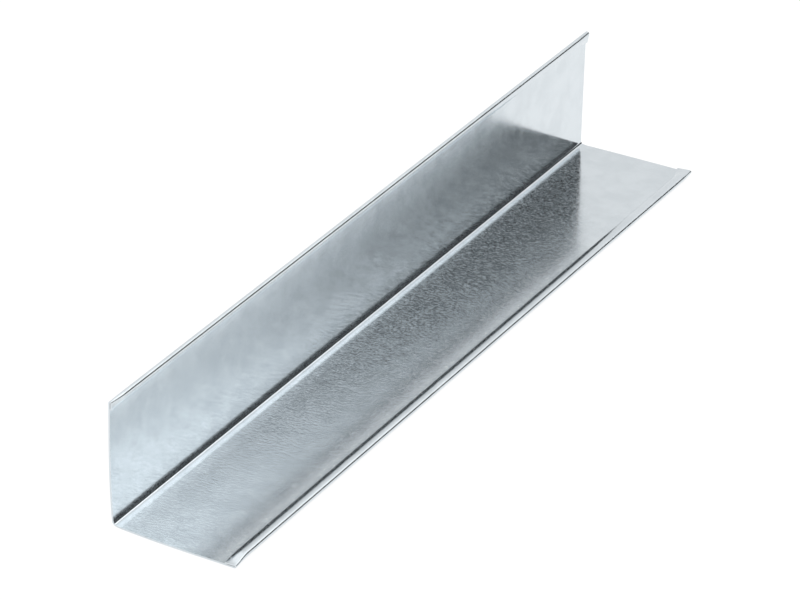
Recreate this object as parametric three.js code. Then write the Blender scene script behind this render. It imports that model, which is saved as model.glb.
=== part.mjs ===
import * as THREE from 'three';

// Galvanised edging angle: one strip of thin sheet, bent once along its length
// and folded over along both long free edges. Millimetres, +Z up.
// The length runs along Y. The base leg lies flat along X, the upright leg stands
// at its low-X side, and both folded edges lie on the inner side of the angle.

// Driving dimensions
const LEG = 50;                  // outside width of each leg
const LENGTH = 340;              // cut length of the strip
const SHEET = 0.6;               // thickness of the sheet
const BEND_INNER_RADIUS = 1.2;   // inside radius of the bend between the legs
const FOLD_RADIUS = 1.1;         // outside radius of the turn at each free edge
const EDGE_GAP = 0.25;           // air left between a folded-over lip's raw edge and its leg
const BASE_LIP_DEPTH = 4.5;      // how far the base leg's lip reaches back from its edge
const UPRIGHT_LIP_DEPTH = 3.6;   // how far the upright leg's lip reaches down from its edge
const ARC_STEPS = 6;             // half the number of straight steps in each arc

const QUARTER = Math.PI / 2;
const BEND_OUTER_RADIUS = BEND_INNER_RADIUS + SHEET;
const FOLD_INNER_RADIUS = FOLD_RADIUS - SHEET;

// A folded-over lip arches from the top of its turn down to its raw edge. This gives
// the arch's outer radius and the angle it turns through, so that the raw edge ends
// EDGE_GAP above the leg at the lip's full depth.
function lipArch(depth) {
  const reach = depth - FOLD_RADIUS;
  const drop = 2 * FOLD_INNER_RADIUS - EDGE_GAP;
  const angle = 2 * Math.atan(drop / reach);
  return { angle, radius: reach / Math.sin(angle) };
}

// The folded edge of the base leg, drawn from its underside to its upper face.
function addBaseEdge(outline) {
  const arch = lipArch(BASE_LIP_DEPTH);
  const turnX = LEG - FOLD_RADIUS;
  const archY = 2 * FOLD_RADIUS - arch.radius;
  const rawEdge = QUARTER + arch.angle;
  outline.absarc(turnX, FOLD_RADIUS, FOLD_RADIUS, -QUARTER, QUARTER, false);
  outline.absarc(turnX, archY, arch.radius, QUARTER, rawEdge, false);
  outline.absarc(turnX, archY, arch.radius - SHEET, rawEdge, QUARTER, true);
  outline.absarc(turnX, FOLD_RADIUS, FOLD_INNER_RADIUS, QUARTER, -QUARTER, true);
}

// The folded edge of the upright leg, drawn from its inner face to its outer face.
function addUprightEdge(outline) {
  const arch = lipArch(UPRIGHT_LIP_DEPTH);
  const turnY = LEG - FOLD_RADIUS;
  const archX = 2 * FOLD_RADIUS - arch.radius;
  outline.absarc(FOLD_RADIUS, turnY, FOLD_INNER_RADIUS, Math.PI, 0, true);
  outline.absarc(archX, turnY, arch.radius - SHEET, 0, -arch.angle, true);
  outline.absarc(archX, turnY, arch.radius, -arch.angle, 0, false);
  outline.absarc(FOLD_RADIUS, turnY, FOLD_RADIUS, 0, Math.PI, false);
}

// Cross-section of the whole strip, with the angle's outer corner at the origin.
function sectionOutline() {
  const outline = new THREE.Shape();
  const bend = BEND_OUTER_RADIUS;
  outline.moveTo(bend, 0);
  addBaseEdge(outline);
  outline.absarc(bend, bend, BEND_INNER_RADIUS, 3 * QUARTER, 2 * QUARTER, true);
  addUprightEdge(outline);
  outline.absarc(bend, bend, BEND_OUTER_RADIUS, 2 * QUARTER, 3 * QUARTER, false);
  return outline;
}

// Bright zinc on steel
function galvanisedSteel() {
  return new THREE.MeshStandardMaterial({ color: 0xc4ccd2, roughness: 0.3, metalness: 1.0 });
}

// The whole strip, standing on the underside of its base leg.
function hemmedAngle() {
  const shape = new THREE.ExtrudeGeometry(sectionOutline(), {
    depth: LENGTH,
    bevelEnabled: false,
    curveSegments: ARC_STEPS,
  });
  const mesh = new THREE.Mesh(shape, galvanisedSteel());
  mesh.name = 'hemmed_angle';
  mesh.rotation.x = QUARTER;
  mesh.position.set(-LEG / 2, LENGTH / 2, 0);
  return mesh;
}

const edgingAngle = new THREE.Group();
edgingAngle.add(hemmedAngle());

export default edgingAngle;
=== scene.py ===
import math

import bpy
from mathutils import Matrix, Vector


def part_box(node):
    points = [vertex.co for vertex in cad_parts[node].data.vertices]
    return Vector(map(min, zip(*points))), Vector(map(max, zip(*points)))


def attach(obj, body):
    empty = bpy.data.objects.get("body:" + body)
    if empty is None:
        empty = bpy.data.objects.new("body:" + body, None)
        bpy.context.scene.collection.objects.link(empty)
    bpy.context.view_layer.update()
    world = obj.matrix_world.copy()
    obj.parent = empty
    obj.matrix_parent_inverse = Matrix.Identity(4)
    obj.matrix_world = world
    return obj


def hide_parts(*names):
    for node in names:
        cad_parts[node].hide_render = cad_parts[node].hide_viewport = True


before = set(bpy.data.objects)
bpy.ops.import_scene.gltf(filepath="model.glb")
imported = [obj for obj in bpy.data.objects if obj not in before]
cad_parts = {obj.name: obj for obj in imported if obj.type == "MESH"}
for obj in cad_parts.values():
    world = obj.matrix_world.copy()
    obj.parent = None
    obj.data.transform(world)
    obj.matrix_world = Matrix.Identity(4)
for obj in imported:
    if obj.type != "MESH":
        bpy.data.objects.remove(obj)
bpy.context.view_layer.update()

MM = 0.001

# The strip, in metres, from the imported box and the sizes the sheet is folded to
leg_low, leg_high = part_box("hemmed_angle")
OUTER_CORNER_X = leg_low.x
LEG = leg_high.x - leg_low.x
LENGTH = leg_high.y - leg_low.y
SHEET = 0.6 * MM
BEND_RADIUS = 1.25 * MM                 # inside of the bend
BASE_RUN_OUT_RADIUS = 18 * MM           # the bend eases into each leg round a larger radius
BASE_RUN_OUT = math.radians(7.5)
UPRIGHT_RUN_OUT_RADIUS = 50 * MM
UPRIGHT_RUN_OUT = math.radians(1.6)
LEAN = math.radians(0.4)                # the bend closes this far past square
BOW = math.radians(0.4)                 # and the upright curves in this much more by its edge
CROWN = 0.1 * MM                        # rise of the base leg's middle
FOLD_RADIUS = 1.1 * MM                  # outside of the turn at each free edge
EDGE_GAP = 0.1 * MM                     # under each lip's raw edge
BASE_LIP_DEPTH = 4.5 * MM
UPRIGHT_LIP_DEPTH = 3.6 * MM
LIP_FLAT = 0.25                         # share of a lip that lies level before it arches down

# The ends, squashed and bent in the way that a shear leaves them
SHEARED = 8 * MM                        # the folded edges are squashed this far in from each end
CLOSED = 1.12 * SHEET                   # height of a lip pressed onto its leg, both at mid sheet
INSET = 1.8 * MM                        # the near cut curves in this far at the bend
INSET_REACH = 34 * MM                   # and comes back to square this far up each leg
INSET_ALONG = 20 * MM                   # length of strip that gives way for it
NEAR = -1                               # the end towards -Y
FAR = 1

# How finely the sheet is cut up
STATIONS = 160                          # cuts along the length
CROWDING = 1.6                          # how much closer they stand towards the ends
BEND_STEPS = 12
RUN_OUT_STEPS = 5
LEG_STEPS = 8
FOLD_STEPS = 16
LIP_STEPS = 6
ALONG = Vector((0, 1, 0))
TOUCH = 0.01 * MM                       # points nearer than this count as in line
SLACK = 0.1                             # share by which a found height or reach may be off
MERGE = 0.001 * MM
SMOOTH_BELOW = math.radians(35)         # sharper turns, at the cut and raw edges, stay crisp


def deselect_all():
    bpy.ops.object.select_all(action="DESELECT")


def select_edges_at(mesh_object, x, z):
    """Selects the row of edges that lies at x and z along the whole length."""
    bpy.ops.object.mode_set(mode="EDIT")
    bpy.ops.mesh.select_all(action="DESELECT")
    bpy.ops.object.mode_set(mode="OBJECT")
    mesh = mesh_object.data
    for edge in mesh.edges:
        ends = [mesh.vertices[v] for v in edge.vertices]
        edge.select = all(abs(end.co.x - x) < TOUCH and abs(end.co.z - z) < TOUCH for end in ends)
        if edge.select:
            for end in ends:
                end.select = True
    bpy.ops.object.mode_set(mode="EDIT")


class FoldingRow:
    """The selected row of edges at the strip's free side, and the way the sheet runs on from it."""

    def __init__(self, x, z, heading):
        self.x = x
        self.z = z
        self.heading = heading          # angle in the section, from +X towards +Z

    def roll(self, radius, angle, steps, left=True):
        """Turns the sheet through an angle round a line along the length."""
        side = 1 if left else -1
        centre_x = self.x - side * radius * math.sin(self.heading)
        centre_z = self.z + side * radius * math.cos(self.heading)
        bpy.ops.mesh.spin(
            steps=steps, angle=angle, center=(centre_x, 0, centre_z), axis=side * ALONG,
            use_auto_merge=False,
        )
        self.heading += side * angle
        self.x = centre_x + side * radius * math.sin(self.heading)
        self.z = centre_z - side * radius * math.cos(self.heading)

    def run(self, distance):
        """Carries the sheet straight on."""
        step = (distance * math.cos(self.heading), 0, distance * math.sin(self.heading))
        bpy.ops.mesh.extrude_region_move(TRANSFORM_OT_translate={"value": step})
        self.x += step[0]
        self.z += step[2]


class FoldedEdge:
    """Where a leg's free edge starts to fold: the way out past the edge, and the way in to the angle."""

    def __init__(self, x, z, outwards, inwards, lip_depth):
        self.start = Vector((x, 0, z))
        self.outwards = outwards
        self.inwards = inwards
        self.lip_depth = lip_depth

    def squash_end(self, strip, end, press, spread, stretch, wedge):
        """Squashes one end of the fold, as a shear would.

        press: how far it closes, 0 to 1; spread: how far its nose moves outwards;
        stretch: how much longer its lip gets; wedge: how straight the lip slopes to its raw edge
        """
        opened = 2 * FOLD_RADIUS - SHEET
        lip_reach = self.lip_depth - FOLD_RADIUS
        for vertex in strip.data.vertices:
            to_end = 1 - (LENGTH / 2 - end * vertex.co.y) / SHEARED
            if to_end <= 0:
                continue
            amount = to_end * to_end * (3 - 2 * to_end)     # eases in and out
            closing = 1 - press * amount
            from_start = vertex.co - self.start
            out = from_start.dot(self.outwards)
            up = from_start.dot(self.inwards)

            # the nose is all that lies past the start, and the lip is what lies back over the leg
            on_nose = out > -TOUCH
            over_leg = (1 - SLACK) * SHEET < up < (1 + SLACK) * opened
            on_lip = not on_nose and over_leg and out > -(1 + SLACK) * self.lip_depth
            if not (on_nose or on_lip):
                continue
            height = CLOSED + (opened - CLOSED) * closing
            if on_nose:
                angle = math.atan2(out, opened / 2 - up)
                new_out = spread * amount + height / 2 * math.sin(angle)
                new_up = height / 2 * (1 - math.cos(angle))
            else:
                new_out = spread * amount + out * (1 + stretch * amount)
                arched = CLOSED + (up - CLOSED) * closing
                straight = height + (CLOSED - height) * min(1, -out / lip_reach)
                new_up = arched + (straight - arched) * wedge * amount
            vertex.co += self.outwards * (new_out - out) + self.inwards * (new_up - up)


def crowd_stations(strip):
    """Moves the cuts along the length closer together towards both ends."""
    half_length = LENGTH / 2
    for vertex in strip.data.vertices:
        from_end = 1 - abs(vertex.co.y) / half_length
        vertex.co.y = math.copysign(half_length * (1 - from_end ** CROWDING), vertex.co.y)


def lip_arch(depth):
    """The angle and radius that bring a lip of this depth down to its raw edge."""
    reach = depth - FOLD_RADIUS - LIP_FLAT * depth
    drop = 2 * (FOLD_RADIUS - SHEET) - EDGE_GAP
    angle = 2 * math.atan(drop / reach)
    return angle, reach / math.sin(angle)


def fold_edge(row, lip_depth, left):
    """Folds the free edge over onto the inner side, and arches the lip down to its raw edge."""
    middle_radius = FOLD_RADIUS - SHEET / 2
    row.roll(middle_radius, math.pi, FOLD_STEPS, left)
    row.run(LIP_FLAT * lip_depth)
    angle, radius = lip_arch(lip_depth)
    row.roll(radius - SHEET / 2, angle, LIP_STEPS, left)


def crown_base(strip, flat_start, flat_end):
    """Bows the base leg up a little between the bend and its folded edge."""
    for vertex in strip.data.vertices:
        across = (vertex.co.x - flat_start) / (flat_end - flat_start)
        if 0 < across < 1 and vertex.co.z < SHEET:
            vertex.co.z += CROWN * 4 * across * (1 - across)


def inset_near_cut(strip):
    """Curves the near cut in towards the bend."""
    for vertex in strip.data.vertices:
        from_bend = max(vertex.co.x - OUTER_CORNER_X, vertex.co.z) / INSET_REACH
        from_cut = (vertex.co.y + LENGTH / 2) / INSET_ALONG
        if from_bend < 1 and from_cut < 1:
            vertex.co.y += INSET * (1 - from_bend) ** 2 * (1 - from_cut)


def fold_strip():
    """Folds a flat sheet, at mid thickness, into the whole section."""
    half = SHEET / 2
    middle_radius = BEND_RADIUS + half
    tight_turn = math.pi / 2 - BASE_RUN_OUT - UPRIGHT_RUN_OUT
    across = (
        BASE_RUN_OUT_RADIUS * math.sin(BASE_RUN_OUT)
        + middle_radius * (math.cos(UPRIGHT_RUN_OUT) - math.sin(BASE_RUN_OUT))
        + UPRIGHT_RUN_OUT_RADIUS * (1 - math.cos(UPRIGHT_RUN_OUT))
    )
    flat_start = OUTER_CORNER_X + half + across
    flat_end = OUTER_CORNER_X + LEG - FOLD_RADIUS
    deselect_all()
    bpy.ops.mesh.primitive_grid_add(
        x_subdivisions=LEG_STEPS, y_subdivisions=STATIONS, size=1,
        location=((flat_start + flat_end) / 2, 0, half),
    )
    strip = bpy.context.object
    strip.name = "galvanised_strip"
    strip.scale = (flat_end - flat_start, LENGTH, 1)
    bpy.ops.object.transform_apply(location=True, rotation=True, scale=True)
    crowd_stations(strip)
    bpy.ops.object.mode_set(mode="EDIT")
    bpy.ops.mesh.select_mode(type="EDGE")

    # the base leg's folded edge
    select_edges_at(strip, flat_end, half)
    base_edge = FoldedEdge(flat_end, half, Vector((1, 0, 0)), Vector((0, 0, 1)), BASE_LIP_DEPTH)
    fold_edge(FoldingRow(flat_end, half, 0), BASE_LIP_DEPTH, True)

    # the bend, the upright and its folded edge
    select_edges_at(strip, flat_start, half)
    row = FoldingRow(flat_start, half, math.pi)
    row.roll(BASE_RUN_OUT_RADIUS, BASE_RUN_OUT, RUN_OUT_STEPS, False)
    row.roll(middle_radius, tight_turn, BEND_STEPS, False)
    row.roll(UPRIGHT_RUN_OUT_RADIUS, UPRIGHT_RUN_OUT + LEAN, RUN_OUT_STEPS, False)
    rise = LEG - FOLD_RADIUS - row.z
    row.roll(rise / BOW, BOW, LEG_STEPS, False)
    upright_edge = FoldedEdge(row.x, row.z, Vector((0, 0, 1)), Vector((1, 0, 0)), UPRIGHT_LIP_DEPTH)
    fold_edge(row, UPRIGHT_LIP_DEPTH, False)

    bpy.ops.mesh.select_all(action="SELECT")
    bpy.ops.mesh.remove_doubles(threshold=MERGE)
    bpy.ops.mesh.normals_make_consistent(inside=False)
    bpy.ops.object.mode_set(mode="OBJECT")
    crown_base(strip, flat_start, flat_end)
    inset_near_cut(strip)
    base_edge.squash_end(strip, NEAR, press=0.9, spread=0.75 * MM, stretch=0.15, wedge=0)
    base_edge.squash_end(strip, FAR, press=0.55, spread=-0.3 * MM, stretch=0.6, wedge=1)
    upright_edge.squash_end(strip, NEAR, press=0.9, spread=0, stretch=0.15, wedge=0)
    upright_edge.squash_end(strip, FAR, press=0.25, spread=0, stretch=0.6, wedge=1)
    return strip


def give_thickness(strip):
    thick = strip.modifiers.new("thickness", "SOLIDIFY")
    thick.thickness = SHEET
    thick.offset = 0
    thick.use_even_offset = True
    bpy.context.view_layer.objects.active = strip
    bpy.ops.object.modifier_apply(modifier=thick.name)
    strip.select_set(True)
    bpy.ops.object.shade_smooth_by_angle(angle=SMOOTH_BELOW)


# Zinc. Noise scales are per metre, and a squeeze packs a pattern closer along the strip's length.
ZINC_GREY = (0.645, 0.694, 0.727, 1)
ZINC_LIGHT = (0.69, 0.739, 0.772, 1)
PATCHES = 90
PATCH_RANGE = (0.35, 0.65)              # part of the noise that goes from one tone to the other
BASE_GRAIN = 900
GRAIN_RANGE = (0.4, 0.7)
GRAIN_SQUEEZE = (1, 2.2, 1)
BASE_RIPPLE = 520
RIPPLE_SQUEEZE = (1, 2, 1)
RIPPLE_DEPTH = 0.009 * MM
RIPPLE_FLAT = 0.5                       # a level height, which leaves the upright smooth
UPRIGHT_CLOUDS = 160
CLOUD_RANGE = (0.3, 0.7)
NOISE_ROUGHNESS = 0.6
BASE_ROUGH = (0.11, 0.22)               # smoothest and dullest spots of each leg
UPRIGHT_ROUGH = (0.085, 0.125)
BASE_TOP = 2 * MM                       # above here the base leg's finish blends into the upright's
UPRIGHT_START = 6 * MM                  # and from here up it is all the upright's
DULL_FROM = 22 * MM                     # how far from the corner the legs start to get duller
DULL_TO = 47 * MM
BASE_DULLED = 0.06                      # and how much rougher they are by their free edges
UPRIGHT_DULLED = 0.1


def is_number(value):
    return isinstance(value, (int, float))


def noise(nodes, links, place, scale, detail, squeeze=(1, 1, 1)):
    """Clouds of the given fineness."""
    mapping = nodes.new("ShaderNodeMapping")
    mapping.inputs["Scale"].default_value = squeeze
    links.new(place, mapping.inputs["Vector"])
    clouds = nodes.new("ShaderNodeTexNoise")
    clouds.inputs["Scale"].default_value = scale
    clouds.inputs["Detail"].default_value = detail
    clouds.inputs["Roughness"].default_value = NOISE_ROUGHNESS
    links.new(mapping.outputs["Vector"], clouds.inputs["Vector"])
    return clouds.outputs["Fac"]


def ramp(nodes, links, source, low, high, first, last):
    """Goes smoothly from first to last as the source goes from low to high."""
    node = nodes.new("ShaderNodeMapRange")
    node.interpolation_type = "SMOOTHSTEP"
    node.inputs["From Min"].default_value = low
    node.inputs["From Max"].default_value = high
    for name, value in (("To Min", first), ("To Max", last)):
        if is_number(value):
            node.inputs[name].default_value = value
        else:
            links.new(value, node.inputs[name])
    links.new(source, node.inputs["Value"])
    return node.outputs["Result"]


def calculate(nodes, links, how, first, second):
    """Adds two values or takes the larger, as how says."""
    node = nodes.new("ShaderNodeMath")
    node.operation = how
    links.new(first, node.inputs[0])
    if is_number(second):
        node.inputs[1].default_value = second
    else:
        links.new(second, node.inputs[1])
    return node.outputs["Value"]


def zinc():
    """Bright zinc, close to a mirror, with fine grain on the base leg and soft clouds on the upright."""
    material = bpy.data.materials.new("bright_zinc")
    material.use_nodes = True
    nodes = material.node_tree.nodes
    links = material.node_tree.links
    shader = nodes["Principled BSDF"]
    shader.inputs["Metallic"].default_value = 1
    place = nodes.new("ShaderNodeTexCoord").outputs["Object"]
    split = nodes.new("ShaderNodeSeparateXYZ")
    links.new(place, split.inputs["Vector"])
    height = split.outputs["Z"]

    def by_leg(base, upright):
        """One value on the base leg and another on the upright."""
        return ramp(nodes, links, height, BASE_TOP, UPRIGHT_START, base, upright)

    # colour: faint grey patches
    patches = noise(nodes, links, place, PATCHES, detail=3)
    tone = nodes.new("ShaderNodeMix")
    tone.data_type = "RGBA"
    tone.inputs[6].default_value = ZINC_GREY
    tone.inputs[7].default_value = ZINC_LIGHT
    links.new(ramp(nodes, links, patches, *PATCH_RANGE, 0, 1), tone.inputs[0])
    links.new(tone.outputs[2], shader.inputs["Base Color"])

    # bump: a fine ripple on the base leg only
    ripple = noise(nodes, links, place, BASE_RIPPLE, detail=1, squeeze=RIPPLE_SQUEEZE)
    bump = nodes.new("ShaderNodeBump")
    bump.inputs["Distance"].default_value = RIPPLE_DEPTH
    links.new(by_leg(ripple, RIPPLE_FLAT), bump.inputs["Height"])
    links.new(bump.outputs["Normal"], shader.inputs["Normal"])

    # roughness: fine grain on the base leg, soft clouds on the upright
    grain = noise(nodes, links, place, BASE_GRAIN, detail=3, squeeze=GRAIN_SQUEEZE)
    base_rough = ramp(nodes, links, grain, *GRAIN_RANGE, *BASE_ROUGH)
    clouds = noise(nodes, links, place, UPRIGHT_CLOUDS, detail=4)
    upright_rough = ramp(nodes, links, clouds, *CLOUD_RANGE, *UPRIGHT_ROUGH)
    rough = by_leg(base_rough, upright_rough)

    # both legs are duller towards their free edges
    from_corner = calculate(nodes, links, "ADD", split.outputs["X"], -OUTER_CORNER_X)
    reach = calculate(nodes, links, "MAXIMUM", from_corner, height)
    most = by_leg(BASE_DULLED, UPRIGHT_DULLED)
    dulled = ramp(nodes, links, reach, DULL_FROM, DULL_TO, 0, most)
    links.new(calculate(nodes, links, "ADD", rough, dulled), shader.inputs["Roughness"])
    return material


strip = fold_strip()
give_thickness(strip)
strip.data.materials.append(zinc())
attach(strip, "root")
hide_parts("hemmed_angle")

FLOOR_SIZE = 60
FLOOR_DROP = 0.2 * MM                   # keeps the floor clear of the base leg's underside
FLOOR_GREY = (0.2, 0.2, 0.2, 1)
FLOOR_GLOW = 0.83


def floor_material():
    material = bpy.data.materials.new("pale_floor")
    material.use_nodes = True
    shader = material.node_tree.nodes["Principled BSDF"]
    shader.inputs["Base Color"].default_value = FLOOR_GREY
    shader.inputs["Roughness"].default_value = 1
    shader.inputs["Specular IOR Level"].default_value = 0
    shader.inputs["Emission Color"].default_value = (1, 1, 1, 1)
    shader.inputs["Emission Strength"].default_value = FLOOR_GLOW
    return material


deselect_all()
bpy.ops.mesh.primitive_plane_add(size=FLOOR_SIZE, location=(0, 0, -FLOOR_DROP))
floor = bpy.context.object
floor.name = "floor"
floor.data.materials.append(floor_material())

# The room. Its brightness goes by elevation in degrees, and by how far a direction leans to +X.
ROOM_BRIGHT = 1.85                      # the ceiling on the right
ROOM_OVERHEAD = 1.25                    # the ceiling on the left and straight on
ROOM_DARK = 0.05
ROOM_WHITE = 0.92
LEFT_CEILING = (36, 43)
RIGHT_CEILING = (29.15, 30.6)
RIGHT_SIDE = (0.22, 0.4)


def elevation(degrees):
    """The Z of a direction this far above the horizon."""
    return math.sin(math.radians(degrees))


def studio_world():
    """A white room with a bright ceiling, and a dark opening low down beyond the far end on the right."""
    world = bpy.data.worlds.new("studio")
    bpy.context.scene.world = world
    world.use_nodes = True
    nodes = world.node_tree.nodes
    links = world.node_tree.links
    background = nodes["Background"]
    place = nodes.new("ShaderNodeTexCoord")
    way = nodes.new("ShaderNodeSeparateXYZ")
    links.new(place.outputs["Generated"], way.inputs["Vector"])

    def up_wall(ceiling, below, above):
        """One brightness below the ceiling's edge and another above it."""
        low, high = [elevation(degrees) for degrees in ceiling]
        return ramp(nodes, links, way.outputs["Z"], low, high, below, above)

    left_side = up_wall(LEFT_CEILING, ROOM_WHITE, ROOM_OVERHEAD)
    right_side = up_wall(RIGHT_CEILING, ROOM_DARK, ROOM_BRIGHT)
    strength = ramp(nodes, links, way.outputs["X"], *RIGHT_SIDE, left_side, right_side)

    # where the camera looks straight at the room, it is plain white
    seen = nodes.new("ShaderNodeLightPath").outputs["Is Camera Ray"]
    links.new(ramp(nodes, links, seen, 0, 1, strength, 1), background.inputs["Strength"])
    background.inputs["Color"].default_value = (1, 1, 1, 1)


studio_world()

CAMERA_AIM = Vector((-5.36, -7.43, 17.93)) * MM
CAMERA_DISTANCE = 1.633
CAMERA_HEADING = math.radians(29.42)    # left of straight along the length
CAMERA_PITCH = math.radians(28.5)       # downwards
CAMERA_ROLL = math.radians(0.95)
CAMERA_LENS = 203                       # millimetres, as is the sensor's width
CAMERA_SENSOR = 36


def studio_camera():
    ahead = Vector((
        -math.sin(CAMERA_HEADING) * math.cos(CAMERA_PITCH),
        math.cos(CAMERA_HEADING) * math.cos(CAMERA_PITCH),
        -math.sin(CAMERA_PITCH),
    ))
    right = ahead.cross(Vector((0, 0, 1))).normalized()
    up = right.cross(ahead)
    turned_right = right * math.cos(CAMERA_ROLL) + up * math.sin(CAMERA_ROLL)
    turned_up = up * math.cos(CAMERA_ROLL) - right * math.sin(CAMERA_ROLL)
    data = bpy.data.cameras.new("camera")
    data.sensor_width = CAMERA_SENSOR
    data.lens = CAMERA_LENS
    data.clip_start = 0.1
    data.clip_end = 100
    camera = bpy.data.objects.new("camera", data)
    bpy.context.scene.collection.objects.link(camera)
    turning = Matrix((turned_right, turned_up, -ahead)).transposed()
    camera.matrix_world = Matrix.Translation(CAMERA_AIM - ahead * CAMERA_DISTANCE) @ turning.to_4x4()
    bpy.context.scene.camera = camera


studio_camera()
bpy.context.scene.view_settings.view_transform = "Standard"
